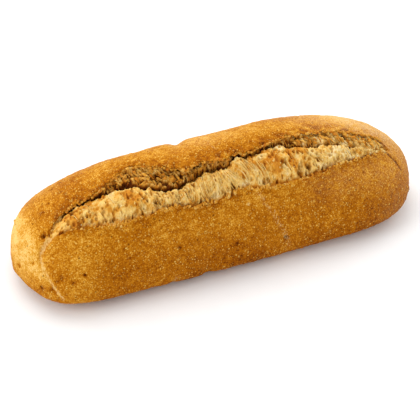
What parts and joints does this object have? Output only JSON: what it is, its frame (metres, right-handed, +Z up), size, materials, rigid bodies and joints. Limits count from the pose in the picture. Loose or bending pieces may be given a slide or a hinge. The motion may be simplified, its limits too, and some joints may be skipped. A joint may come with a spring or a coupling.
{
  "type": "brown bread roll",
  "caption": "Long brown bread roll with blunt rounded ends and a flat base, slashed along the top, with a band of torn pale crumb beside the rear crust.",
  "frame": {"origin": "centre of the footprint, on the surface that the roll rests on", "axes": "+X along the roll towards its rounder end, +Y away from the side that the slash leans to, +Z up"},
  "size_m": [0.2146, 0.0726, 0.0565],
  "materials": {
    "crust": "dry matt golden-brown baked crust, speckled, with pale cream crumb in the slash",
    "crumb": "dry matt pale cream torn crumb, fibrous, with a few baked golden patches"
  },
  "bodies": {
    "root": {"loaf": "crust"}
  },
  "joints": []
}
